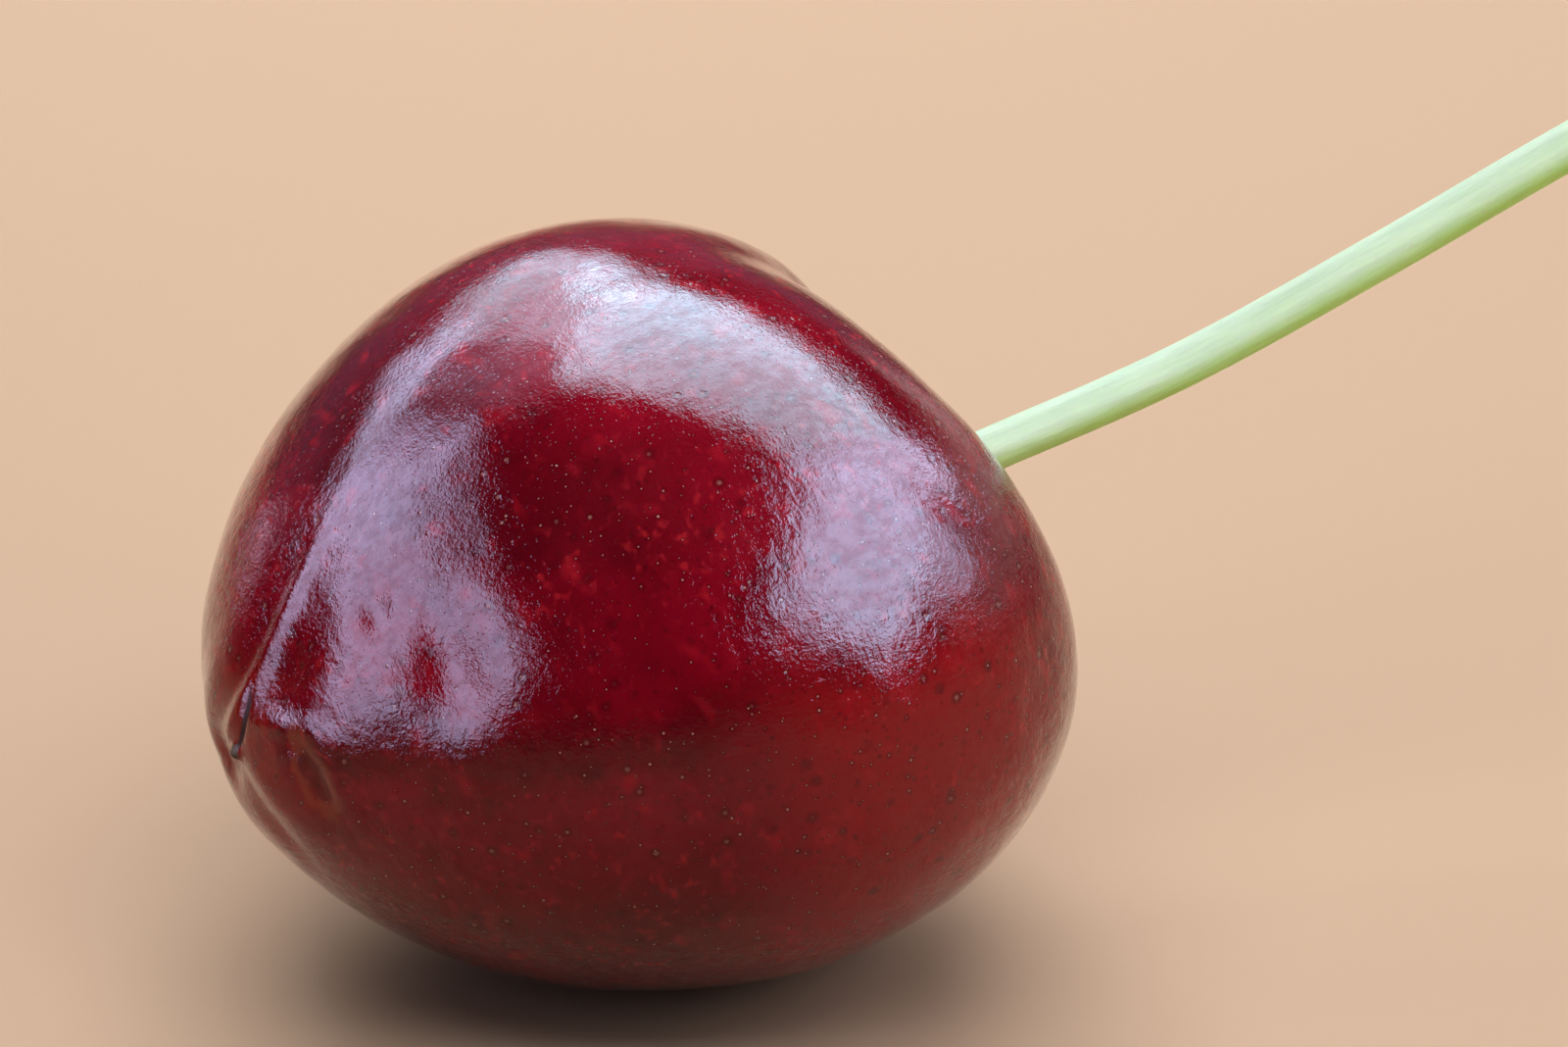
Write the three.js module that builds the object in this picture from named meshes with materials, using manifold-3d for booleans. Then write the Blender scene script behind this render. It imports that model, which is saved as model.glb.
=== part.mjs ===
// One sweet cherry as picked: a heart-shaped fruit lying on its back, and its stem.
//
// Lengths are millimetres and angles are degrees. +Z is up and Z = 0 is the surface that the fruit
// lies on. The origin is the middle of the small flat spot it rests on. +X runs the way the fruit
// points, from the pistil scar to the stem, seen from above.

import * as THREE from 'three'
import { mergeVertices } from 'three/addons/utils/BufferGeometryUtils.js'
import Module from 'manifold-3d'

const { exp, sin, cos, PI } = Math
const radians = THREE.MathUtils.degToRad

// ---------------------------------------------------------------- driving dimensions

// The fruit's own frame: +Z from the scar to the stem, +X to the suture side, turns counted from +X.
// Values given as { suture, cheek, back } differ between the three sides and blend between them.
const FRUIT_RADIUS = { suture: 9.9, cheek: 12.3, back: 11.4 }
const FRUIT_HEIGHT = { suture: 22.7, cheek: 25.1, back: 24.8 } // scar to shoulder, cavity left out
const SQUARENESS = { suture: -0.016, cheek: 0, back: 0.016 } // fuller ends above 0, leaner below
const SHOULDER_FULLNESS = 0.14 // how much wider the stem end is than the scar end

// The funnel that the stem stands in, and the narrow pit at its foot
const CAVITY_DEPTH = 4.5
const CAVITY_SPREAD = 22 // degrees of latitude
const PIT_DEPTH = 1.2
const PIT_SPREAD = 9

// The suture: a shallow groove from the scar over the suture side to a dip in the shoulder
const SUTURE_TURN_AT_SCAR = 20
const SUTURE_TURN_AT_SHOULDER = -14
const SUTURE_HALF_WIDTH = 1.3
const SUTURE_DEPTH = 0.06
const SUTURE_SCAR_DEPTH = 0.22
const SUTURE_SCAR_SPREAD = 22
const SUTURE_DIP_DEPTH = 0.35
const SUTURE_DIP_LATITUDE = 146
const SUTURE_DIP_SPREAD = 12

// The narrow crease beside the scar: it leaves the suture's groove and bends towards the tip
const CREASE_DEPTH = 0.07
const CREASE_HALF_WIDTH = 0.13
const CREASE_LATITUDE = 14
const CREASE_SPREAD = 7
const CREASE_BEND = 38
const CREASE_BEND_LATITUDE = 6
const CREASE_BEND_SPREAD = 12

// Marks near the scar: each runs along one turn, which leans by so many degrees for each degree of
// latitude, and has its reach along it, half its width across it, and its depth; a negative depth
// stands out
const MARKS = [
  { name: 'swollen tip', latitude: 18, turn: 59, lean: 0, reach: 15, halfWidth: 3.3, depth: -0.78 },
  { name: 'swollen back', latitude: 15, turn: 160, lean: 0, reach: 8, halfWidth: 2.6, depth: -0.14 },
  { name: 'suture lip', latitude: 17, turn: 29, lean: -0.64, reach: 22, halfWidth: 0.35, depth: -0.2 },
  { name: 'long dent', latitude: 23.2, turn: 40, lean: -0.5, reach: 10.8, halfWidth: 1.45, depth: 0.56 },
  { name: 'lip under it', latitude: 20, turn: 51, lean: 1.25, reach: 7, halfWidth: 0.4, depth: -0.13 },
  { name: 'small dent', latitude: 50, turn: 58.6, lean: -0.75, reach: 5.6, halfWidth: 1.4, depth: 0.27 },
  { name: 'faint dent', latitude: 44.8, turn: 40, lean: -0.5, reach: 2.8, halfWidth: 0.7, depth: 0.16 },
  { name: 'cheek dimple', latitude: 25, turn: 77, lean: 0, reach: 2.4, halfWidth: 1.1, depth: 0.16 },
  { name: 'dimple rim', latitude: 28, turn: 77, lean: 0, reach: 1.3, halfWidth: 1.3, depth: -0.05 },
  { name: 'back furrow', latitude: 14, turn: 109, lean: 3.7, reach: 7, halfWidth: 0.7, depth: 0.1 },
  { name: 'furrow ridge', latitude: 17, turn: 90, lean: 2.9, reach: 7, halfWidth: 0.7, depth: -0.05 },
]

// How the fruit lies: its axis rises towards the stem, and the scar hangs above the surface
const AXIS_RISE = 9.6
const SCAR_SETBACK = 13.3
const SCAR_HEIGHT = 8.65

// The stem, thin and round, with a collar in the pit and a knob where it left the branch
const STEM_RADIUS = 0.65
const STEM_THICKENING = 0.1 // share of the radius gained from the fruit to the knob
const STEM_COLLAR = { extra: 0.55, spread: 1.6 }
const STEM_KNOB = { extra: 0.75, spread: 1.9 }
const STEM_END_ROUNDING = 0.8
const STEM_END_FACE = 0.55 // the blunt end's share of the radius
const STEM_CLEARANCE = 0.4 // between the pit's floor and the collar

// Where the stem runs after it leaves the pit
const STEM_ROUTE = [
  [10.7, -0.1, 12.9],
  [16.7, -0.5, 14.45],
  [22.7, -1.3, 16.95],
  [28.7, -2.3, 19.8],
  [34.7, -3.7, 22.7],
  [39.0, -4.9, 24.6],
  [42.8, -6.1, 25.8],
]

// Faces
const FRUIT_TURNS = 80
const FRUIT_ROWS = 56
const ROW_CROWDING = 0.28 // how much closer the rows stand at both ends
const STEM_SIDES = 12
const STEM_ROWS = 64
const STEM_CROWDING = 0.3

// ---------------------------------------------------------------- small helpers

// A bell curve, 1 at zero
const bell = (distance, spread) => exp(-((distance / spread) ** 2))

// The mean all round of a value that differs between suture side, cheeks and back
const evened = ({ suture, cheek, back }) => (suture + back) / 4 + cheek / 2

// Such a value at one turn round the axis
function around(sides, turn) {
  const lean = (sides.suture - sides.back) / 2
  const flatness = (sides.suture + sides.back) / 4 - sides.cheek / 2
  return evened(sides) + lean * cos(turn) + flatness * cos(2 * turn)
}

// Evenly counted rows, moved closer together at both ends; the crowding is under 0.5
const crowded = (share, crowding) => share - (crowding * sin(2 * PI * share)) / PI

// The shortest way from one turn to another, between -PI and PI
const turnBetween = (turn, other) => Math.atan2(sin(turn - other), cos(turn - other))

// ---------------------------------------------------------------- the fruit

// Where the suture runs at a latitude: it wanders from one side of the ridge to the other
function sutureTurn(latitude) {
  const middle = (SUTURE_TURN_AT_SCAR + SUTURE_TURN_AT_SHOULDER) / 2
  const swing = (SUTURE_TURN_AT_SCAR - SUTURE_TURN_AT_SHOULDER) / 2
  return radians(middle + swing * cos(latitude))
}

// Where the crease runs at a latitude: it leaves the suture and swings towards the tip near the scar
function creaseTurn(latitude) {
  const degrees = THREE.MathUtils.radToDeg(latitude)
  const bend = CREASE_BEND * bell(degrees - CREASE_BEND_LATITUDE, CREASE_BEND_SPREAD)
  return sutureTurn(latitude) + radians(bend)
}

// How deep the skin is pressed in at a place, in millimetres
function pressedIn(latitude, turn, radius) {
  const degrees = THREE.MathUtils.radToDeg(latitude)
  const across = radius * turnBetween(turn, sutureTurn(latitude))
  const grooveDepth =
    SUTURE_DEPTH * sin(latitude) +
    SUTURE_SCAR_DEPTH * bell(degrees, SUTURE_SCAR_SPREAD) +
    SUTURE_DIP_DEPTH * bell(degrees - SUTURE_DIP_LATITUDE, SUTURE_DIP_SPREAD)
  const groove = grooveDepth * bell(across, SUTURE_HALF_WIDTH)
  const acrossCrease = radius * turnBetween(turn, creaseTurn(latitude))
  const creaseDepth = CREASE_DEPTH * bell(degrees - CREASE_LATITUDE, CREASE_SPREAD)
  const crease = creaseDepth * bell(acrossCrease, CREASE_HALF_WIDTH)
  let marks = 0
  for (const mark of MARKS) {
    const markTurn = radians(mark.turn + mark.lean * (degrees - mark.latitude))
    const aside = radius * turnBetween(turn, markTurn)
    marks += mark.depth * bell(degrees - mark.latitude, mark.reach) * bell(aside, mark.halfWidth)
  }
  return groove + crease + marks
}

// A point of the skin; latitude is 0 at the scar and PI at the foot of the cavity
function skinPoint(latitude, turn) {
  const fullness = 1 - SHOULDER_FULLNESS * cos(latitude) + around(SQUARENESS, turn) * cos(2 * latitude)
  const radius = around(FRUIT_RADIUS, turn) * sin(latitude) * fullness
  const fromStem = THREE.MathUtils.radToDeg(PI - latitude)
  const cavity = bell(fromStem, CAVITY_SPREAD)
  const pit = bell(fromStem ** 2, PIT_SPREAD ** 2)
  const evenHeight = evened(FRUIT_HEIGHT)
  const sideHeight = around(FRUIT_HEIGHT, turn)
  const height = sideHeight + (evenHeight - sideHeight) * cavity
  const level = (height * (1 - cos(latitude))) / 2 - CAVITY_DEPTH * cavity - PIT_DEPTH * pit
  const point = new THREE.Vector3(radius * cos(turn), radius * sin(turn), level)
  const middle = new THREE.Vector3(0, 0, evenHeight / 2)
  const inward = middle.sub(point).normalize()
  return point.addScaledVector(inward, pressedIn(latitude, turn, radius))
}

// The fruit's frame as it lies: where its +X (suture), +Y (cheek) and +Z (axis) point
function fruitPlacing() {
  const rise = radians(AXIS_RISE)
  const axis = new THREE.Vector3(cos(rise), 0, sin(rise))
  const suture = new THREE.Vector3(-sin(rise), 0, cos(rise))
  const cheek = new THREE.Vector3().crossVectors(axis, suture)
  return new THREE.Matrix4().makeBasis(suture, cheek, axis).setPosition(-SCAR_SETBACK, 0, SCAR_HEIGHT)
}

function wholeFruit() {
  const geometry = new THREE.SphereGeometry(1, FRUIT_TURNS, FRUIT_ROWS)
  const { position, uv } = geometry.attributes
  for (let i = 0; i < position.count; i++) {
    const latitude = PI * crowded(uv.getY(i), ROW_CROWDING)
    const turn = 2 * PI * (uv.getX(i) % 1)
    position.setXYZ(i, ...skinPoint(latitude, turn))
  }
  return geometry.applyMatrix4(fruitPlacing())
}

// ---------------------------------------------------------------- the stem

function stemRadius(along, length) {
  const even = STEM_RADIUS * (1 + (STEM_THICKENING * along) / length)
  const collar = STEM_COLLAR.extra * bell(along, STEM_COLLAR.spread)
  const knob = STEM_KNOB.extra * bell(length - along, STEM_KNOB.spread)
  const short = Math.max(1 - Math.min(along, length - along) / STEM_END_ROUNDING, 0)
  const rounding = STEM_END_FACE + (1 - STEM_END_FACE) * Math.sqrt(1 - short ** 2)
  return (even + collar + knob) * rounding
}

function stemCurve() {
  const foot = skinPoint(PI, 0)
  foot.z += STEM_CLEARANCE
  foot.applyMatrix4(fruitPlacing())
  return new THREE.CatmullRomCurve3([foot, ...STEM_ROUTE.map((point) => new THREE.Vector3(...point))])
}

// The stem is turned straight and then bent along its curve, row by row
function stem() {
  const curve = stemCurve()
  const length = curve.getLength()
  const profile = [new THREE.Vector2(0, 0)]
  for (let row = 0; row <= STEM_ROWS; row++) {
    const along = length * crowded(row / STEM_ROWS, STEM_CROWDING)
    profile.push(new THREE.Vector2(stemRadius(along, length), along))
  }
  profile.push(new THREE.Vector2(0, length))

  const geometry = new THREE.LatheGeometry(profile, STEM_SIDES)
  const frames = curve.computeFrenetFrames(STEM_ROWS)
  const { position } = geometry.attributes
  for (let i = 0; i < position.count; i++) {
    const share = Math.min(position.getY(i) / length, 1)
    const frame = Math.round(share * STEM_ROWS)
    const point = curve.getPointAt(share)
    point.addScaledVector(frames.normals[frame], position.getX(i))
    point.addScaledVector(frames.binormals[frame], -position.getZ(i))
    position.setXYZ(i, ...point)
  }
  return geometry
}

// ---------------------------------------------------------------- the flat spot

const wasm = await Module()
wasm.setup()

// Positions and faces only, with shared vertices merged
function solid(geometry) {
  const bare = geometry.clone()
  bare.deleteAttribute('normal')
  bare.deleteAttribute('uv')
  const merged = mergeVertices(bare)
  const vertProperties = new Float32Array(merged.attributes.position.array)
  const triVerts = new Uint32Array(merged.index.array)
  return new wasm.Manifold(new wasm.Mesh({ numProp: 3, vertProperties, triVerts }))
}

function geometryOf(manifold) {
  const { vertProperties, triVerts } = manifold.getMesh()
  const geometry = new THREE.BufferGeometry()
  geometry.setAttribute('position', new THREE.BufferAttribute(vertProperties, 3))
  geometry.setIndex(new THREE.BufferAttribute(triVerts, 1))
  geometry.computeVertexNormals()
  return geometry
}

// The fruit flattens a little under its own weight where it touches the surface
function restingFruit() {
  const size = 4 * FRUIT_RADIUS.cheek
  const below = new THREE.BoxGeometry(size, size, size).translate(0, 0, -size / 2)
  return geometryOf(solid(wholeFruit()).subtract(solid(below)))
}

// ---------------------------------------------------------------- the cherry

function piece(name, geometry, color, roughness) {
  const mesh = new THREE.Mesh(geometry, new THREE.MeshStandardMaterial({ color, roughness, metalness: 0 }))
  mesh.name = name
  return mesh
}

const cherry = new THREE.Group()
cherry.name = 'cherry'
cherry.add(piece('cherry_fruit', restingFruit(), 0x78081a, 0.18))
cherry.add(piece('cherry_stem', stem(), 0xb4d08c, 0.5))

export default cherry
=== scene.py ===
"""The looks of one sweet cherry: its skin, its stem, and a plain studio round it.

Lengths are millimetres, and Blender's own metres come in through MM. Named angles are degrees, while
the functions of the form take latitudes and turns in radians. +Z is up, Z = 0 is the surface, and the
origin is the spot that the fruit rests on.
"""

import bpy
import numpy as np
from mathutils import Matrix, Vector, noise


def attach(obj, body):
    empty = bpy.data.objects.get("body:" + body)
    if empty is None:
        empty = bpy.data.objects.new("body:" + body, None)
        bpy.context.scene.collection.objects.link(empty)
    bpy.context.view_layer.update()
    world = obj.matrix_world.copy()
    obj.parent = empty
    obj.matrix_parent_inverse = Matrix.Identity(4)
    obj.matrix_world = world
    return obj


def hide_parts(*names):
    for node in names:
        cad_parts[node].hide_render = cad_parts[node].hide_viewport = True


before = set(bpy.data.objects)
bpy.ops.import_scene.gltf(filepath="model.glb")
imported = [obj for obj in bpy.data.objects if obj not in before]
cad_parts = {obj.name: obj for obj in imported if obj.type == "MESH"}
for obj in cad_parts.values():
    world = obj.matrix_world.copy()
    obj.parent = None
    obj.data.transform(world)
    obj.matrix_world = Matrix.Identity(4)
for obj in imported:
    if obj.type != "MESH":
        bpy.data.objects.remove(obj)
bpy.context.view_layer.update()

MM = 0.001

# ---------------------------------------------------------------- driving dimensions

# The fruit's own frame: +Z from the scar to the stem, +X to the suture side, turns counted from +X.
# Values given as (suture, cheek, back) differ between the three sides and blend between them.
FRUIT_RADIUS = (9.9, 12.3, 11.4)
FRUIT_HEIGHT = (22.7, 25.1, 24.8)
SQUARENESS = (-0.016, 0.0, 0.016)
SHOULDER_FULLNESS = 0.14

CAVITY_DEPTH = 4.5
CAVITY_SPREAD = 22
PIT_DEPTH = 1.2
PIT_SPREAD = 9

SUTURE_TURN_AT_SCAR = 20
SUTURE_TURN_AT_SHOULDER = -14
SUTURE_HALF_WIDTH = 1.3
SUTURE_DEPTH = 0.06
SUTURE_SCAR_DEPTH = 0.22
SUTURE_SCAR_SPREAD = 22
SUTURE_DIP_DEPTH = 0.35
SUTURE_DIP_LATITUDE = 146
SUTURE_DIP_SPREAD = 12

CREASE_DEPTH = 0.07
CREASE_HALF_WIDTH = 0.13
CREASE_LATITUDE = 14
CREASE_SPREAD = 7
CREASE_BEND = 38
CREASE_BEND_LATITUDE = 6
CREASE_BEND_SPREAD = 12

# The scar, a dry nub beside the tip, and the dimple's middle and half axes, which place its colours
SCAR_LATITUDE = 8.5
SCAR_TURN = 59
SCAR_RADIUS = 0.22
SCAR_HEIGHT = 0.28
DIMPLE_LATITUDE = 25
DIMPLE_TURN = 77
DIMPLE_HALF_AXES = (2.0, 1.1)  # degrees of latitude, millimetres along the turn
DIMPLE_FARTHEST = 3  # in half axes; beyond it all skin counts as equally far

# Marks near the scar: latitude, turn, lean of the turn for each degree of latitude, reach along it,
# half width across it and depth; a negative depth stands out
MARKS = {
    "swollen tip": (18, 59, 0, 15, 3.3, -0.78),
    "swollen back": (15, 160, 0, 8, 2.6, -0.14),
    "suture lip": (17, 29, -0.64, 22, 0.35, -0.2),
    "long dent": (23.2, 40, -0.5, 10.8, 1.45, 0.56),
    "lip under it": (20, 51, 1.25, 7, 0.4, -0.13),
    "small dent": (50, 58.6, -0.75, 5.6, 1.4, 0.27),
    "faint dent": (44.8, 40, -0.5, 2.8, 0.7, 0.16),
    "cheek dimple": (25, 77, 0, 2.4, 1.1, 0.16),
    "dimple rim": (28, 77, 0, 1.3, 1.3, -0.05),
    "back furrow": (14, 109, 3.7, 7, 0.7, 0.1),
    "furrow ridge": (17, 90, 2.9, 7, 0.7, -0.05),
}

# As the fruit lies, its axis starts here, at the scar's end, and rises towards the stem
AXIS_RISE = 9.6
SCAR_PLACE = (-13.3, 0.0, 8.65)

STEM_RADIUS = 0.65
STEM_THICKENING = 0.1
STEM_COLLAR = (0.55, 1.6)  # extra radius and how far it spreads, and so is the knob's
STEM_KNOB = (0.75, 1.9)
STEM_END_ROUNDING = 0.8
STEM_END_FACE = 0.55  # the flat ends' share of the radius
STEM_CLEARANCE = 0.4  # between the stem's foot and the floor of the pit
STEM_ROUTE = (
    (10.7, -0.1, 12.9),
    (16.7, -0.5, 14.45),
    (22.7, -1.3, 16.95),
    (28.7, -2.3, 19.8),
    (34.7, -3.7, 22.7),
    (39.0, -4.9, 24.6),
    (42.8, -6.1, 25.8),
)

# Faces
FRUIT_TURNS = 440
FRUIT_ROWS = 222
FRUIT_ROW_CROWDING = 0.22
STEM_SIDES = 48
STEM_ROWS = 420
STEM_ROW_CROWDING = 0.3
STEM_CAP_UV = 0.01  # each end cap's share of the height of the stem's UV map
ROUTE_STEPS = 200  # fine steps of each stretch of the stem's route

# Relief of the skin besides its marks: wavelength round the fruit, wavelength along it, height
RELIEF = (
    (4.6, 4.6, 0.060),
    (2.3, 1.8, 0.030),
    (1.2, 0.7, 0.014),
)
RELIEF_SHIFT = (17.0, 0.0, 0.0)  # from one row of RELIEF to the next, so that they don't line up
RELIEF_START = (0.0, 5.0, 9.0)

# Camera and studio
CAMERA_AIM = (3.32, -1.33, 12.67)
CAMERA_AZIMUTH = -27
CAMERA_ELEVATION = 26
CAMERA_DISTANCE = 223
CAMERA_LENS = 180
CAMERA_SENSOR = 36
CAMERA_CLIP_START = 10
FLOOR_SIDE = 12000
# a painted pool of light: the floor is pale within the first reach and in painted shade beyond the second
FLOOR_PALE_REACH = 85
FLOOR_SHADE_REACH = 145
WORLD_STRENGTH = 0.02


# ---------------------------------------------------------------- small helpers

def bell(distance, spread):
    """A bell curve, 1 at zero."""
    return np.exp(-((distance / spread) ** 2))


def evened(sides):
    """The average all the way round of a value that differs between suture side, cheeks and back."""
    suture, cheek, back = sides
    return (suture + back) / 4 + cheek / 2


def around(sides, turn):
    """Such a value at a turn round the axis."""
    suture, cheek, back = sides
    lean = (suture - back) / 2
    flatness = (suture + back) / 4 - cheek / 2
    return evened(sides) + lean * np.cos(turn) + flatness * np.cos(2 * turn)


def crowded(share, crowding):
    """Evenly counted rows, moved closer together at both ends."""
    return share - crowding * np.sin(2 * np.pi * share) / np.pi


def turn_between(turn, other):
    """The shorter way from one turn to another, with its sign."""
    return np.arctan2(np.sin(turn - other), np.cos(turn - other))


# ---------------------------------------------------------------- the fruit's form

def suture_turn(latitude):
    """Where the suture runs, wandering from its turn at the scar to its turn at the shoulder."""
    middle = (SUTURE_TURN_AT_SCAR + SUTURE_TURN_AT_SHOULDER) / 2
    swing = (SUTURE_TURN_AT_SCAR - SUTURE_TURN_AT_SHOULDER) / 2
    return np.radians(middle + swing * np.cos(latitude))


def crease_turn(latitude):
    """Where the crease runs: along the suture, and bent aside round the tip."""
    bend = CREASE_BEND * bell(np.degrees(latitude) - CREASE_BEND_LATITUDE, CREASE_BEND_SPREAD)
    return suture_turn(latitude) + np.radians(bend)


def crease_closeness(latitude, turn, radius):
    """1 in the middle of the crease, fading at its ends and sides."""
    across = radius * turn_between(turn, crease_turn(latitude))
    faded = bell(np.degrees(latitude) - CREASE_LATITUDE, CREASE_SPREAD)
    return faded * bell(across, CREASE_HALF_WIDTH)


def pressed_in(latitude, turn, radius):
    """How deep the skin is pressed in at a place."""
    degrees = np.degrees(latitude)
    across = radius * turn_between(turn, suture_turn(latitude))
    groove_depth = (
        SUTURE_DEPTH * np.sin(latitude)
        + SUTURE_SCAR_DEPTH * bell(degrees, SUTURE_SCAR_SPREAD)
        + SUTURE_DIP_DEPTH * bell(degrees - SUTURE_DIP_LATITUDE, SUTURE_DIP_SPREAD)
    )
    depth = groove_depth * bell(across, SUTURE_HALF_WIDTH)
    depth += CREASE_DEPTH * crease_closeness(latitude, turn, radius)
    for mark_latitude, mark_turn, lean, reach, half_width, mark_depth in MARKS.values():
        line = np.radians(mark_turn + lean * (degrees - mark_latitude))
        aside = radius * turn_between(turn, line)
        depth += mark_depth * bell(degrees - mark_latitude, reach) * bell(aside, half_width)
    return depth


def axis_distance(latitude, turn):
    """How far from its axis the fruit's unmarked skin is; latitude is 0 at the scar."""
    squareness = around(SQUARENESS, turn) * np.cos(2 * latitude)
    fullness = 1 - SHOULDER_FULLNESS * np.cos(latitude) + squareness
    return around(FRUIT_RADIUS, turn) * np.sin(latitude) * fullness


def skin_points(latitude, turn):
    """Points of the skin in the fruit's frame; latitude is 0 at the scar and pi in the cavity."""
    radius = axis_distance(latitude, turn)
    from_stem = np.degrees(np.pi - latitude)
    cavity = bell(from_stem, CAVITY_SPREAD)
    pit = bell(from_stem**2, PIT_SPREAD**2)
    even_height = evened(FRUIT_HEIGHT)
    side_height = around(FRUIT_HEIGHT, turn)
    height = side_height + (even_height - side_height) * cavity
    level = height * (1 - np.cos(latitude)) / 2 - CAVITY_DEPTH * cavity - PIT_DEPTH * pit
    points = np.stack([radius * np.cos(turn), radius * np.sin(turn), level * np.ones_like(radius)], -1)
    inward = np.array([0, 0, even_height / 2]) - points
    inward /= np.linalg.norm(inward, axis=-1, keepdims=True)
    return points + inward * pressed_in(latitude, turn, radius)[..., None]


def scar_closeness(points):
    """1 at the scar's middle, falling to nearly nothing at twice its radius."""
    scar = skin_points(np.radians([[SCAR_LATITUDE]]), np.radians([[SCAR_TURN]]))[0, 0]
    return bell(np.linalg.norm(points - scar, axis=-1), SCAR_RADIUS)


def dimple_distance(latitude, turn):
    """0 in the dimple's middle and 1 on its rim."""
    tall, wide = DIMPLE_HALF_AXES
    up = (np.degrees(latitude) - DIMPLE_LATITUDE) / tall
    across = axis_distance(latitude, turn) * turn_between(turn, np.radians(DIMPLE_TURN)) / wide
    return np.minimum(np.hypot(up, across), DIMPLE_FARTHEST)


def relief(points):
    """Soft dents and wrinkles that run round the fruit."""
    height = np.zeros(len(points))
    for row, (round_length, along_length, amplitude) in enumerate(RELIEF):
        scale = Vector((1 / round_length, 1 / round_length, 1 / along_length))
        offset = Vector(RELIEF_START) + row * Vector(RELIEF_SHIFT)
        height += amplitude * np.array([noise.noise(Vector(p) * scale + offset) for p in points])
    return height


def fruit_basis():
    """Columns: where the fruit's suture side, cheek and axis point as it lies."""
    rise = np.radians(AXIS_RISE)
    axis = np.array([np.cos(rise), 0, np.sin(rise)])
    suture = np.array([-np.sin(rise), 0, np.cos(rise)])
    return np.stack([suture, np.cross(axis, suture), axis], 1)


def as_it_lies(points):
    """Points of the fruit's frame, moved to where the fruit lies."""
    return points @ fruit_basis().T + np.array(SCAR_PLACE)


# ---------------------------------------------------------------- meshes

def lathe_mesh(name, rings, uv_rows):
    """A closed mesh of rings of points, whose first and last rings close to one point each."""
    rows, sides = rings.shape[0], rings.shape[1]
    first, last = rings[0].mean(0), rings[-1].mean(0)
    points = np.concatenate([rings[1:-1].reshape(-1, 3), [first, last]])
    foot, tip = (rows - 2) * sides, (rows - 2) * sides + 1
    faces, uvs = [], []
    for side in range(sides):
        after = (side + 1) % sides
        left, right = side / sides, (side + 1) / sides
        middle = (left + right) / 2
        faces.append((foot, after, side))
        uvs += [(middle, uv_rows[0]), (right, uv_rows[1]), (left, uv_rows[1])]
        for row in range(rows - 3):
            here = row * sides
            above = here + sides
            faces.append((here + side, here + after, above + after, above + side))
            low, high = uv_rows[row + 1], uv_rows[row + 2]
            uvs += [(left, low), (right, low), (right, high), (left, high)]
        top = (rows - 3) * sides
        faces.append((top + side, top + after, tip))
        uvs += [(left, uv_rows[-2]), (right, uv_rows[-2]), (middle, uv_rows[-1])]
    mesh = bpy.data.meshes.new(name)
    mesh.from_pydata((points * MM).tolist(), [], faces)
    layer = mesh.uv_layers.new(name="OFBake")
    layer.data.foreach_set("uv", np.array(uvs, np.float32).ravel())
    mesh.shade_smooth()
    return mesh


def lathe_values(values):
    """Values of rings in the order of lathe_mesh's points."""
    flat = values[1:-1].reshape(-1, *values.shape[2:])
    ends = np.stack([values[0].mean(0), values[-1].mean(0)])
    return np.concatenate([flat, ends])


def give(mesh, name, values):
    """A named value or vector on each point of the mesh, for its material."""
    kind = "FLOAT" if values.ndim == 1 else "FLOAT_VECTOR"
    field = "value" if values.ndim == 1 else "vector"
    attribute = mesh.attributes.new(name, kind, "POINT")
    attribute.data.foreach_set(field, values.astype(np.float32).ravel())


def piece(name, mesh, material, node):
    """A visible piece that rides the root and stands in for a node."""
    made = bpy.data.objects.new(name, mesh)
    bpy.context.scene.collection.objects.link(made)
    mesh.materials.append(material)
    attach(made, "root")
    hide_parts(node)


# ---------------------------------------------------------------- materials

def rgb(red, green, blue):
    return (red, green, blue, 1.0)


SKIN_TONES = {
    "ground": rgb(0.135, 0.0010, 0.0070),
    "lighter cloud": rgb(0.185, 0.0014, 0.0095),
    "darker cloud": rgb(0.070, 0.0007, 0.0040),
    # painted shade on the far cheek and beside the suture, and painted light low by the stem, in the next
    # three
    "painted shade of the far cheek": rgb(0.060, 0.0006, 0.0035),
    "painted shade beside the suture": rgb(0.050, 0.0005, 0.0030),
    "painted light low by the stem": rgb(0.34, 0.0100, 0.0120),
    "shoulder": rgb(0.080, 0.0012, 0.0060),
    "tip": rgb(0.270, 0.0130, 0.0080),
    "fleck": rgb(0.33, 0.0065, 0.0150),
    "small fleck": rgb(0.37, 0.0110, 0.0180),
    "dot's ring": rgb(0.060, 0.0010, 0.0040),
    "dimple": rgb(0.065, 0.005, 0.005),
    "dimple rim": rgb(0.24, 0.040, 0.018),
    # painted shade for the crease's groove
    "crease": rgb(0.040, 0.014, 0.010),
    "scar": rgb(0.085, 0.060, 0.036),
    "foot of the cavity": rgb(0.24, 0.025, 0.016),
}

# Pale dots of the skin: how many places for them a millimetre has, their radius, tone and strength, and
# the depth of their pits
DOTS = (
    (1.3, 0.070, rgb(0.34, 0.14, 0.12), 0.6, 0.004),
    (2.4, 0.034, rgb(0.60, 0.28, 0.25), 0.8, 0.003),
    (4.1, 0.022, rgb(0.60, 0.25, 0.22), 0.7, 0),
)
DOT_SIZES = (0.45, 1.25)  # the smallest and the largest, as shares of the radius

# Heights of the grain that the materials add, of the skin and then of the stem
THREAD_HEIGHT = 0.024
SCRATCH_HEIGHT = 0.014
PEBBLE_HEIGHT = 0.008
PORE_DEPTH = 0.0045
STREAK_HEIGHT = 0.03
FIBRE_HEIGHT = 0.012

SKIN_FINISH = {
    "Coat IOR": 1.3,
    "Coat Roughness": 0.06,
    "IOR": 1.18,
    "Subsurface Weight": 0.12,
    "Subsurface Radius": (1.0, 0.12, 0.10),
    "Subsurface Scale": 1.2 * MM,
}
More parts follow.
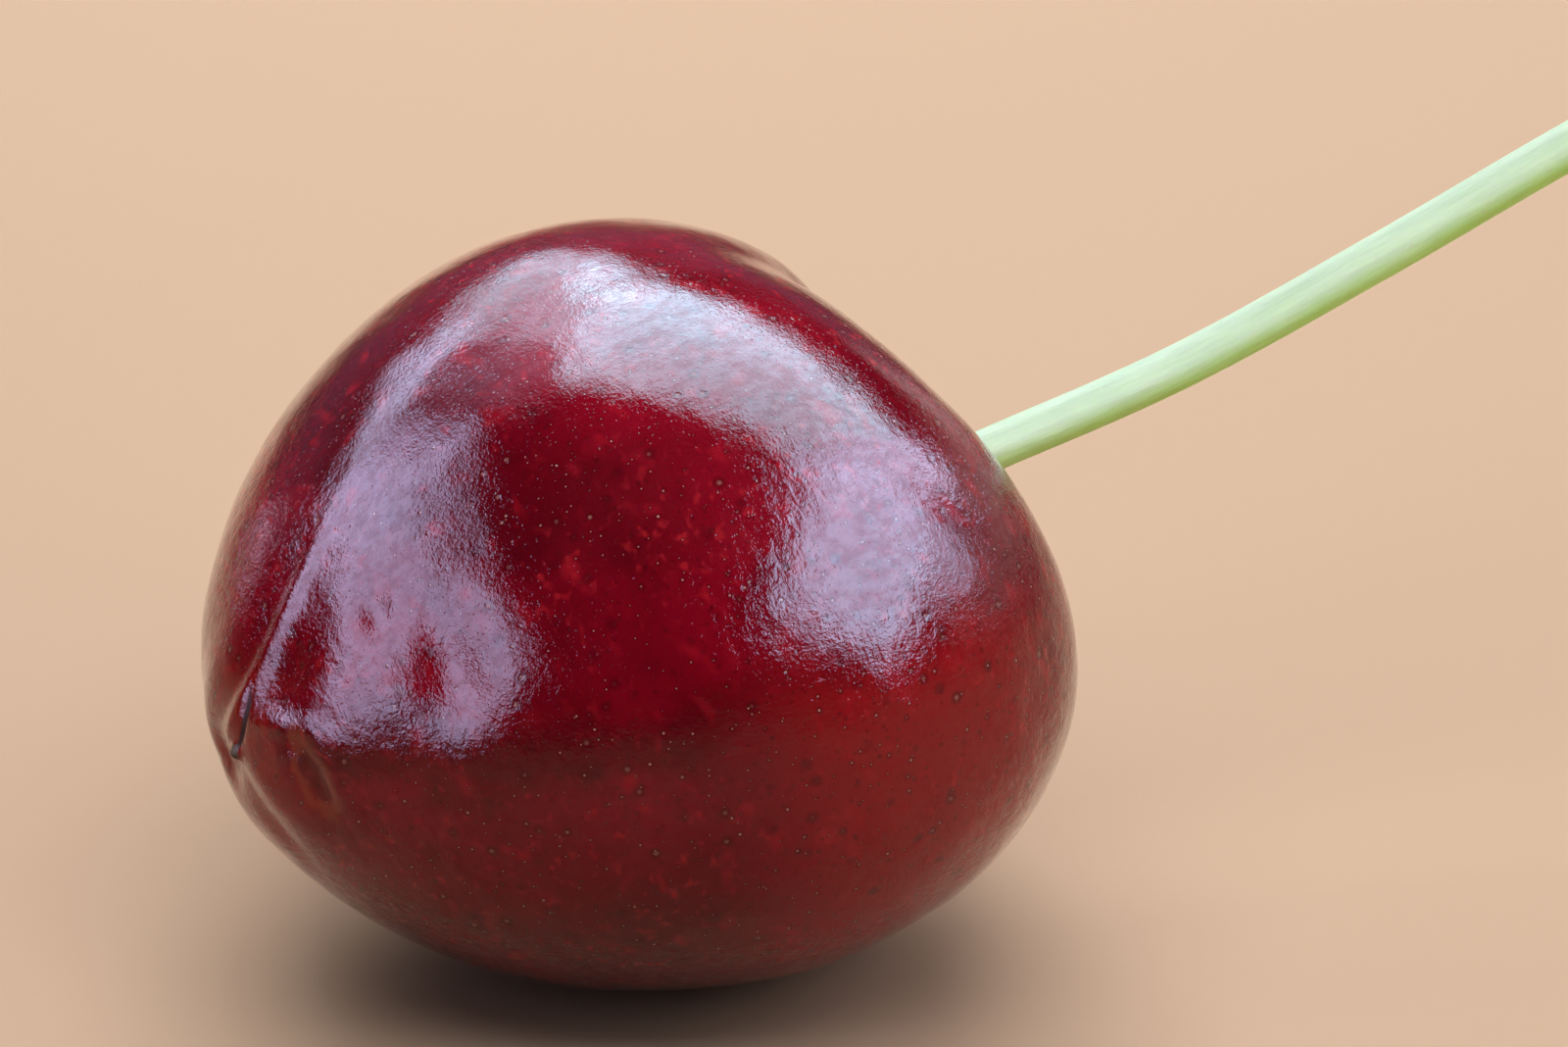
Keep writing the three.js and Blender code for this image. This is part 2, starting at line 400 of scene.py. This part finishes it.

# The stem's tones, each off its streaks and on them, are painted shade and light: darker mint on top,
# paler at its side and yellower green below, as if lit from the floor. A point's millimetres across the
# stem and up from its middle, times the shaded side's two shares, add up to 1 on that side and to -1
# opposite.
STEM_TONES = {
    "shaded_mint": (rgb(0.35, 0.46, 0.31), rgb(0.40, 0.51, 0.36)),
    "lit_pale": (rgb(0.56, 0.72, 0.49), rgb(0.61, 0.76, 0.54)),
    "floor_lit_yellow_green": (rgb(0.48, 0.76, 0.18), rgb(0.54, 0.83, 0.26)),
}
STEM_SHADED_SIDE = (-0.68, 1.38)
STEM_FLECK_TONE = rgb(0.62, 0.60, 0.42)
STEM_KNOB_TONE = rgb(0.17, 0.085, 0.035)
STEM_KNOB_BROWNING = (36.6, 38.8)  # along the stem
STEM_FINISH = {
    "Roughness": 0.55,
    "Specular IOR Level": 0.2,
    "Subsurface Weight": 0.5,
    "Subsurface Radius": (0.8, 1.0, 0.4),
    "Subsurface Scale": 0.8 * MM,
}

FLOOR_PALE_TONE = rgb(0.42, 0.297, 0.208)
FLOOR_SHADE_TONE = rgb(0.215, 0.146, 0.102)
FLOOR_FINISH = {"Roughness": 1.0, "Specular IOR Level": 0.0}
WORLD_TONE = rgb(1.0, 0.95, 0.9)


class Nodes:
    """A material's node tree, with short calls for the nodes it is made of."""

    def __init__(self, name, finish):
        self.material = bpy.data.materials.new(name)
        self.material.use_nodes = True
        self.tree = self.material.node_tree
        self.shader = self.tree.nodes["Principled BSDF"]
        for socket, value in finish.items():
            self.set(socket, value)

    def add(self, kind, **settings):
        node = self.tree.nodes.new(kind)
        for key, value in settings.items():
            setattr(node, key, value)
        return node

    def link(self, source, target):
        self.tree.links.new(source, target)

    def feed(self, socket, value):
        if isinstance(value, bpy.types.NodeSocket):
            self.link(value, socket)
        else:
            socket.default_value = value

    def set(self, name, value):
        self.feed(self.shader.inputs[name], value)

    def attribute(self, name, vector=False):
        node = self.add("ShaderNodeAttribute", attribute_name=name)
        return node.outputs["Vector" if vector else "Fac"]

    def math(self, operation, a, b):
        node = self.add("ShaderNodeMath", operation=operation)
        self.feed(node.inputs[0], a)
        self.feed(node.inputs[1], b)
        return node.outputs[0]

    def stretched(self, vector, scale):
        node = self.add("ShaderNodeVectorMath", operation="MULTIPLY")
        self.link(vector, node.inputs[0])
        node.inputs[1].default_value = scale
        return node.outputs[0]

    def part(self, vector, axis):
        node = self.add("ShaderNodeSeparateXYZ")
        self.link(vector, node.inputs[0])
        return node.outputs[axis]

    def noise(self, vector, scale, detail=2.0, roughness=0.5, distortion=0.0):
        node = self.add("ShaderNodeTexNoise")
        self.link(vector, node.inputs["Vector"])
        node.inputs["Scale"].default_value = scale
        node.inputs["Detail"].default_value = detail
        node.inputs["Roughness"].default_value = roughness
        node.inputs["Distortion"].default_value = distortion
        return node.outputs["Fac"]

    def cells(self, vector, scale):
        """Distance to the nearest of scattered points, in the vector's units, and its random value."""
        node = self.add("ShaderNodeTexVoronoi")
        self.link(vector, node.inputs["Vector"])
        node.inputs["Scale"].default_value = scale
        return self.math("DIVIDE", node.outputs["Distance"], scale), node.outputs["Color"]

    def between(self, value, low, high, to_low=0.0, to_high=1.0):
        """A smooth step from one value to another; low may be the larger end."""
        node = self.add("ShaderNodeMapRange", interpolation_type="SMOOTHSTEP")
        self.feed(node.inputs["Value"], value)
        node.inputs["From Min"].default_value = low
        node.inputs["From Max"].default_value = high
        node.inputs["To Min"].default_value = to_low
        node.inputs["To Max"].default_value = to_high
        return node.outputs["Result"]

    def ragged(self, value, vector, scale, reach):
        """The value moved up and down by noise, which makes the edges drawn from it wander."""
        return self.math("ADD", value, self.between(self.noise(vector, scale), 0.3, 0.7, -reach, reach))

    def mix(self, share, a, b):
        """Colour a with a share of colour b; the numbers are those of the node's colour sockets."""
        node = self.add("ShaderNodeMix", data_type="RGBA")
        self.feed(node.inputs["Factor"], share)
        self.feed(node.inputs[6], a)
        self.feed(node.inputs[7], b)
        return node.outputs[2]

    def tinted(self, color, tone, share, *fades):
        """The colour with a share of the tone; a fade is a value, where none is left and where all is."""
        for value, none, everything in fades:
            share = self.math("MULTIPLY", share, self.between(value, none, everything))
        return self.mix(share, color, tone)

    def bump(self, height, distance, normal=None):
        """A normal bent by a height of 0 to 1 that stands for a distance in millimetres."""
        node = self.add("ShaderNodeBump")
        self.link(height, node.inputs["Height"])
        node.inputs["Strength"].default_value = 1.0
        node.inputs["Distance"].default_value = distance * MM
        if normal is not None:
            self.link(normal, node.inputs["Normal"])
        return node.outputs["Normal"]


def skin_ground(nodes, place, latitude):
    """Deep crimson in clouds of several sizes, deeper and redder in wide patches.

    The deeper cheek, its stripe and the skin beside the suture are painted shade, and the redder skin
    low by the stem is painted light.
    """
    clouds = nodes.noise(place, 0.22)
    color = nodes.tinted(SKIN_TONES["ground"], SKIN_TONES["lighter cloud"], 1, (clouds, 0.35, 0.65))
    depth = nodes.noise(place, 0.8, detail=3, roughness=0.6)
    color = nodes.tinted(color, SKIN_TONES["darker cloud"], 0.45, (depth, 0.5, 0.75))

    # painted shade: the cheek away from the suture, on the fruit's underside, is darker, and so is a
    # lengthwise stripe at its edge, except towards the stem
    rise = nodes.ragged(nodes.part(place, "X"), place, 0.4, 0.6)
    cheek = nodes.between(rise, 2, -8, 0, 0.6)
    shade_band = nodes.math("MULTIPLY", nodes.between(rise, 0.4, 1.7), nodes.between(rise, 3.6, 2.3, 0, 0.65))
    cheek = nodes.math("MAXIMUM", cheek, shade_band)
    color = nodes.tinted(color, SKIN_TONES["painted shade of the far cheek"], cheek, (latitude, 105, 75))

    # painted shade darkens the skin beside the suture on the scar's half, and painted light makes the
    # skin redder low on the cheek towards the stem
    beside = ((latitude, 90, 68), (rise, 5.5, 7.5))
    color = nodes.tinted(color, SKIN_TONES["painted shade beside the suture"], 0.65, *beside)
    stemward = ((latitude, 72, 96), (latitude, 138, 114), (rise, 4, 2))
    color = nodes.tinted(color, SKIN_TONES["painted light low by the stem"], 0.5, *stemward)

    # the shoulder is deeper on the suture's side, and the tip round the scar is redder
    color = nodes.tinted(color, SKIN_TONES["shoulder"], 0.5, (latitude, 112, 130), (rise, 1, 3))
    from_tip = nodes.ragged(latitude, place, 0.9, 4)
    return nodes.tinted(color, SKIN_TONES["tip"], 0.6, (from_tip, 30, 12))


def skin_flecks(nodes, place, color):
    """Redder flecks like short brush marks: large soft ones, and small ones in crowds."""
    squeezed = nodes.stretched(place, (0.8, 1.0, 1.25))
    flecks = nodes.noise(squeezed, 1.1, detail=1, roughness=0.4, distortion=0.3)
    color = nodes.tinted(color, SKIN_TONES["fleck"], 0.55, (flecks, 0.58, 0.82))
    small = nodes.noise(nodes.stretched(place, (0.9, 0.9, 1.2)), 2.7, detail=1)
    crowd = nodes.between(nodes.noise(place, 0.3, detail=1), 0.35, 0.65, 0.05, 0.6)
    return nodes.tinted(color, SKIN_TONES["small fleck"], crowd, (small, 0.56, 0.80))


def skin_dots(nodes, place, color):
    """Pale dots of uneven size, each in a darker ring, and the pits that the larger ones sit in."""
    pits = []
    for crowding, radius, tone, strength, depth in DOTS:
        distance, luck = nodes.cells(place, crowding)
        size = nodes.between(luck, 0.2, 0.8, *(share * radius for share in DOT_SIZES))
        radii = nodes.math("DIVIDE", distance, size)
        color = nodes.tinted(color, SKIN_TONES["dot's ring"], 0.6, (radii, 3.2, 1.0))
        color = nodes.tinted(color, tone, strength, (radii, 1.25, 0.2))
        if depth:
            pits.append((nodes.between(radii, 0.6, 1.8), depth))
    return color, pits


def skin_marks(nodes, place, latitude, color):
    """The dimple in its browner rim, the crease in painted shade, the dry scar and the cavity's paler
    foot.
    """
    dimple = nodes.ragged(nodes.attribute("dimple"), place, 1.4, 0.25)
    color = nodes.tinted(color, SKIN_TONES["dimple"], 0.5, (dimple, 0.95, 0.5))
    color = nodes.tinted(color, SKIN_TONES["dimple rim"], 0.55, (dimple, 0.6, 1.0), (dimple, 1.6, 1.05))
    # painted shade: the crease's narrow groove is coloured dark
    crease = nodes.between(nodes.attribute("crease"), 0.3, 0.75)
    color = nodes.mix(crease, color, SKIN_TONES["crease"])
    scar = nodes.between(nodes.attribute("scar"), 0.15, 0.5)
    color = nodes.mix(scar, color, SKIN_TONES["scar"])
    color = nodes.tinted(color, SKIN_TONES["foot of the cavity"], 0.5, (latitude, 152, 176))
    return color, nodes.math("MAXIMUM", crease, scar)


def skin_grain(nodes, place, pits):
    """Threads that run round the fruit, scratches along it, pebbles, sparse pores and dots' pits."""
    crosswise = nodes.stretched(place, (0.9, 0.9, 1.7))
    threads = nodes.noise(crosswise, 1.7, detail=4, roughness=0.6, distortion=0.5)
    crowd = nodes.between(nodes.noise(place, 0.28, detail=1), 0.35, 0.65, 0.4, 1.5)
    threads = nodes.math("MULTIPLY", threads, crowd)
    lengthwise = nodes.stretched(place, (1.0, 1.0, 0.45))
    scratches = nodes.noise(lengthwise, 5.0, detail=3, roughness=0.7, distortion=0.4)
    calmer_by_suture = nodes.between(nodes.part(place, "X"), 4, 9, 1, 0.4)
    threads = nodes.math("MULTIPLY", threads, calmer_by_suture)
    scratches = nodes.math("MULTIPLY", scratches, calmer_by_suture)
    pebbles = nodes.noise(nodes.stretched(place, (1.0, 1.0, 1.2)), 8.0, roughness=0.7)
    distance, luck = nodes.cells(nodes.stretched(place, (1.0, 1.0, 1.3)), 7.5)
    unlucky = nodes.between(luck, 0.8, 0.55)
    pores = nodes.math("MAXIMUM", nodes.between(distance, 0.005, 0.045), unlucky)

    normal = nodes.bump(threads, THREAD_HEIGHT)
    normal = nodes.bump(scratches, SCRATCH_HEIGHT, normal)
    normal = nodes.bump(pebbles, PEBBLE_HEIGHT, normal)
    normal = nodes.bump(pores, PORE_DEPTH, normal)
    for pit, depth in pits:
        normal = nodes.bump(pit, depth, normal)
    return normal


def skin_material():
    """Dark crimson skin under a wax film that is thinner in blotches and missing on the dry marks."""
    nodes = Nodes("cherry_skin", SKIN_FINISH)
    place = nodes.attribute("grown", vector=True)
    latitude = nodes.attribute("latitude")
    color = skin_flecks(nodes, place, skin_ground(nodes, place, latitude))
    color, pits = skin_dots(nodes, place, color)
    color, dry = skin_marks(nodes, place, latitude, color)
    nodes.set("Base Color", color)

    normal = skin_grain(nodes, place, pits)
    nodes.set("Normal", normal)
    nodes.set("Coat Normal", normal)

    film = nodes.noise(nodes.stretched(place, (1.0, 1.0, 0.6)), 3.0, detail=5, roughness=0.75)
    waxed = nodes.math("SUBTRACT", 1.0, dry)
    nodes.set("Coat Weight", nodes.math("MULTIPLY", nodes.between(film, 0.38, 0.60, 0.6, 1.0), waxed))
    rough = nodes.between(nodes.noise(place, 0.9, detail=3), 0.3, 0.7, 0.05, 0.10)
    nodes.set("Roughness", nodes.math("ADD", rough, nodes.math("MULTIPLY", dry, 0.5)))
    return nodes.material


def stem_material():
    """Fresh stem: mint above, pale at its side, yellower green below, streaked, with a brown knob.

    The three tones are painted shade on top and painted light at the side and below.
    """
    nodes = Nodes("stem_green", STEM_FINISH)
    place = nodes.attribute("grown", vector=True)
    across_share, up_share = STEM_SHADED_SIDE
    across = nodes.math("MULTIPLY", nodes.part(place, "X"), across_share)
    toward_shaded_side = nodes.math("ADD", across, nodes.math("MULTIPLY", nodes.part(place, "Y"), up_share))

    streaks = nodes.noise(nodes.stretched(place, (1.0, 1.0, 0.12)), 3.0, detail=4, roughness=0.6)
    streaked = nodes.between(streaks, 0.35, 0.65)
    shaded_mint, lit_pale, floor_lit_yellower = (nodes.mix(streaked, *tones) for tones in STEM_TONES.values())
    # painted light and shade: yellower green below, pale at the side, darker mint on top
    color = nodes.mix(nodes.between(toward_shaded_side, -0.9, 0.1), floor_lit_yellower, lit_pale)
    color = nodes.mix(nodes.between(toward_shaded_side, 0.1, 0.9), color, shaded_mint)
    flecks, _ = nodes.cells(nodes.stretched(place, (1.0, 1.0, 0.45)), 2.2)
    color = nodes.tinted(color, STEM_FLECK_TONE, 0.4, (flecks, 0.055, 0.023))
    color = nodes.mix(nodes.between(nodes.part(place, "Z"), *STEM_KNOB_BROWNING), color, STEM_KNOB_TONE)
    nodes.set("Base Color", color)

    fibres = nodes.noise(nodes.stretched(place, (1.0, 1.0, 0.06)), 7.0)
    nodes.set("Normal", nodes.bump(fibres, FIBRE_HEIGHT, nodes.bump(streaks, STREAK_HEIGHT)))
    return nodes.material


def floor_material():
    """Plain and pale where the fruit stands, and a darker tan farther off: a painted pool of light."""
    nodes = Nodes("floor", FLOOR_FINISH)
    from_middle = nodes.add("ShaderNodeVectorMath", operation="LENGTH")
    nodes.link(nodes.add("ShaderNodeTexCoord").outputs["Object"], from_middle.inputs[0])
    # painted shade: the floor darkens farther from the fruit, as if the light fell off
    far = nodes.between(from_middle.outputs["Value"], FLOOR_PALE_REACH * MM, FLOOR_SHADE_REACH * MM)
    nodes.set("Base Color", nodes.mix(far, FLOOR_PALE_TONE, FLOOR_SHADE_TONE))
    return nodes.material


# ---------------------------------------------------------------- the fruit

def make_fruit():
    share = np.linspace(0, 1, FRUIT_ROWS + 1)
    latitude = (np.pi * crowded(share, FRUIT_ROW_CROWDING))[:, None]
    turn = np.linspace(0, 2 * np.pi, FRUIT_TURNS, endpoint=False)[None, :]
    rings = skin_points(latitude, turn)
    middle = np.array([0, 0, evened(FRUIT_HEIGHT) / 2])
    outward = (rings - middle) / np.linalg.norm(rings - middle, axis=-1, keepdims=True)
    scar = scar_closeness(rings)
    crease = crease_closeness(latitude, turn, axis_distance(latitude, turn))
    heights = relief(rings.reshape(-1, 3)).reshape(rings.shape[:2]) + SCAR_HEIGHT * scar
    rings = rings + outward * heights[..., None]
    lying = as_it_lies(rings)
    lying[..., 2] = np.maximum(lying[..., 2], 0)  # the flat spot
    mesh = lathe_mesh("cherry_fruit_skin", lying, share)
    give(mesh, "grown", lathe_values(rings))
    give(mesh, "latitude", lathe_values(np.degrees(latitude) * np.ones_like(turn)))
    give(mesh, "scar", lathe_values(scar))
    give(mesh, "crease", lathe_values(crease))
    give(mesh, "dimple", lathe_values(dimple_distance(latitude, turn)))
    piece("cherry_fruit_skin", mesh, skin_material(), "cherry_fruit")


# ---------------------------------------------------------------- the stem

def curve_stretch(previous, start, end, following):
    """Points of a centripetal Catmull-Rom curve from start to just before end."""
    before = np.linalg.norm(start - previous) ** 0.5
    within = np.linalg.norm(end - start) ** 0.5
    after = np.linalg.norm(following - end) ** 0.5
    middle = (end - start) / within
    leave = (start - previous) / before - (end - previous) / (before + within) + middle
    arrive = middle - (following - start) / (within + after) + (following - end) / after
    t = np.linspace(0, 1, ROUTE_STEPS, endpoint=False)[:, None]
    return (
        (2 * t**3 - 3 * t**2 + 1) * start
        + (t**3 - 2 * t**2 + t) * leave * within
        + (3 * t**2 - 2 * t**3) * end
        + (t**3 - t**2) * arrive * within
    )


def stem_centres(count):
    """Middles of the stem's rings, from the floor of the pit through its route, and how far along."""
    foot = skin_points(np.array([[np.pi]]), np.array([[0.0]]))[0, 0]
    foot = as_it_lies(foot + np.array([0, 0, STEM_CLEARANCE]))
    route = np.array([foot, *STEM_ROUTE])
    beyond_foot = 2 * route[0] - route[1]
    beyond_knob = 2 * route[-1] - route[-2]
    stops = [beyond_foot, *route, beyond_knob]
    stretches = [curve_stretch(*stops[first : first + 4]) for first in range(len(stops) - 3)]
    fine = np.concatenate([*stretches, route[-1:]])
    lengths = np.concatenate([[0], np.cumsum(np.linalg.norm(np.diff(fine, axis=0), axis=1))])
    along = lengths[-1] * crowded(np.linspace(0, 1, count), STEM_ROW_CROWDING)
    centres = np.stack([np.interp(along, lengths, fine[:, axis]) for axis in range(3)], 1)
    return centres, along


def stem_radius(along, length):
    """The shaft, which thickens a little, with its collar and its knob, drawn in at both ends."""
    even = STEM_RADIUS * (1 + STEM_THICKENING * along / length)
    collar = STEM_COLLAR[0] * bell(along, STEM_COLLAR[1])
    knob = STEM_KNOB[0] * bell(length - along, STEM_KNOB[1])
    short = np.maximum(1 - np.minimum(along, length - along) / STEM_END_ROUNDING, 0)
    rounding = STEM_END_FACE + (1 - STEM_END_FACE) * np.sqrt(1 - short**2)
    return (even + collar + knob) * rounding


def capped(rings, first, last):
    """The rings with one more at each end, whose points are all the same."""
    start = np.broadcast_to(first, rings[:1].shape)
    end = np.broadcast_to(last, rings[:1].shape)
    return np.concatenate([start, rings, end])


def make_stem():
    centres, along = stem_centres(STEM_ROWS)
    length = along[-1]
    tangents = np.gradient(centres, along, axis=0)
    tangents /= np.linalg.norm(tangents, axis=1, keepdims=True)
    sideways = np.cross(tangents, [0, 0, 1])
    sideways /= np.linalg.norm(sideways, axis=1, keepdims=True)
    upward = np.cross(sideways, tangents)
    turn = np.linspace(0, 2 * np.pi, STEM_SIDES, endpoint=False)
    radius = stem_radius(along, length)[:, None]
    across, up = radius * np.cos(turn), radius * np.sin(turn)
    rings = (
        centres[:, None, :]
        + sideways[:, None, :] * across[..., None]
        + upward[:, None, :] * up[..., None]
    )
    grown = np.stack([across, up, along[:, None] + 0 * across], -1)

    # the other way round, so that the faces look outward
    rings = capped(rings, centres[0], centres[-1])[:, ::-1]
    grown = capped(grown, (0, 0, 0), (0, 0, length))[:, ::-1]

    shaft_uv = STEM_CAP_UV + (1 - 2 * STEM_CAP_UV) * along / length
    mesh = lathe_mesh("cherry_stem_skin", rings, np.array([0, *shaft_uv, 1]))
    give(mesh, "grown", lathe_values(grown))
    piece("cherry_stem_skin", mesh, stem_material(), "cherry_stem")


# ---------------------------------------------------------------- camera and studio

def towards(azimuth, elevation):
    """The direction at an azimuth counted from the camera's own, clockwise from above."""
    turn, rise = np.radians(azimuth - CAMERA_AZIMUTH), np.radians(elevation)
    return Vector((np.sin(turn) * np.cos(rise), np.cos(turn) * np.cos(rise), np.sin(rise)))


def look_at(thing, place, target):
    thing.location = place * MM
    thing.rotation_euler = (target - place).to_track_quat("-Z", "Y").to_euler()


def make_camera():
    data = bpy.data.cameras.new("camera")
    data.lens = CAMERA_LENS
    data.sensor_width = CAMERA_SENSOR
    data.clip_start = CAMERA_CLIP_START * MM
    camera = bpy.data.objects.new("camera", data)
    bpy.context.scene.collection.objects.link(camera)
    aim = Vector(CAMERA_AIM)
    look_at(camera, aim + towards(180, CAMERA_ELEVATION) * CAMERA_DISTANCE, aim)
    bpy.context.scene.camera = camera


# Softboxes stand round the fruit and over it. Each has its azimuth, counted as towards() does, its
# elevation, its roll, half its width and height as seen from the fruit, its distance, its radiance and
# its tint.
SHEEN_DISTANCE = 1400
FILL_TINT = (0.98, 0.98, 1)
SHEEN_SOFTBOXES = {
    "back": (19, 57, 4, 27, 22, SHEEN_DISTANCE, 14.8, (0.50, 0.775, 1.0)),
    "back_low": (-17, 30, -37, 14, 10, SHEEN_DISTANCE, 4.8, (0.50, 0.78, 1.0)),
    "left_of_top": (-44, 29.5, 0, 12, 5.5, SHEEN_DISTANCE, 8.6, (0.62, 0.66, 1.0)),
    "haze": (-34, 50, 0, 12, 12, SHEEN_DISTANCE, 2.2, (1.0, 0.55, 0.85)),
    "left_of_back": (-51, 3.2, 0, 5, 3, SHEEN_DISTANCE, 2.8, (1.0, 0.75, 1.0)),
    "left": (-105, 26, 22, 40, 16, SHEEN_DISTANCE, 12.7, (0.64, 0.62, 1.0)),
    "right_of_back": (64, 38, -25, 7, 18, SHEEN_DISTANCE, 16.3, (0.62, 0.68, 1.0)),
    "right": (114, 37, -37, 29, 20, SHEEN_DISTANCE, 22.4, (0.52, 0.67, 1.0)),
    "low_right": (86, 21, 0, 10, 8, SHEEN_DISTANCE, 9.4, (0.60, 0.68, 1.0)),
    "dim_right": (60, 9, 0, 38, 9, SHEEN_DISTANCE, 0.9, (1.0, 0.85, 0.8)),
    "dim_back": (-15, 10, 0, 45, 9, SHEEN_DISTANCE, 0.15, (0.9, 0.6, 1.0)),
}
FILL_SOFTBOXES = {
    "fill_back_near": (-5, 38, 0, 24, 20, 160, 2.6, FILL_TINT),
    "fill_back": (-5, 46, 0, 24, 22, 360, 3.9, FILL_TINT),
    "fill_top": (180, 72, 0, 24, 20, 150, 4.7, FILL_TINT),
    "fill_right": (97, 34, 0, 34, 18, 200, 1.6, FILL_TINT),
    "fill_left": (-105, 30, 0, 40, 18, 360, 0.25, FILL_TINT),
}


def make_softboxes(softboxes, sheen):
    """Sheen boxes show in glossy reflections alone, and fill boxes light everything but those."""
    for name, settings in softboxes.items():
        azimuth, elevation, roll, half_width, half_height, distance, radiance, tint = settings
        width = 2 * distance * np.tan(np.radians(half_width)) * MM
        height = 2 * distance * np.tan(np.radians(half_height)) * MM
        data = bpy.data.lights.new(name + "_softbox", "AREA")
        data.shape = "RECTANGLE"
        data.size = width
        data.size_y = height
        data.energy = radiance * np.pi * width * height
        data.color = tint
        light = bpy.data.objects.new(name + "_softbox", data)
        light.visible_camera = False
        light.visible_diffuse = not sheen
        light.visible_glossy = sheen
        bpy.context.scene.collection.objects.link(light)
        place_softbox(light, azimuth, elevation, roll, distance)


def place_softbox(light, azimuth, elevation, roll, distance):
    """Stand a light at its direction, facing the fruit, turned by its roll as the fruit sees it."""
    outward = towards(azimuth, elevation)
    level = outward.cross(Vector((0, 0, 1))).normalized()
    upright = level.cross(outward)
    turn = np.radians(roll)
    across = level * np.cos(turn) + upright * np.sin(turn)
    matrix = Matrix((across, outward.cross(across), outward)).transposed()
    light.matrix_world = Matrix.Translation(outward * distance * MM) @ matrix.to_4x4()


def make_stage():
    bpy.ops.mesh.primitive_plane_add(size=FLOOR_SIDE * MM)
    floor = bpy.context.object
    floor.name = "floor"
    floor.data.materials.append(floor_material())
    world = bpy.data.worlds.new("studio")
    world.use_nodes = True
    background = world.node_tree.nodes["Background"]
    background.inputs["Color"].default_value = WORLD_TONE
    background.inputs["Strength"].default_value = WORLD_STRENGTH
    bpy.context.scene.world = world
    bpy.context.scene.view_settings.view_transform = "Standard"


make_camera()
make_fruit()
make_stem()
make_stage()
make_softboxes(SHEEN_SOFTBOXES, sheen=True)
make_softboxes(FILL_SOFTBOXES, sheen=False)
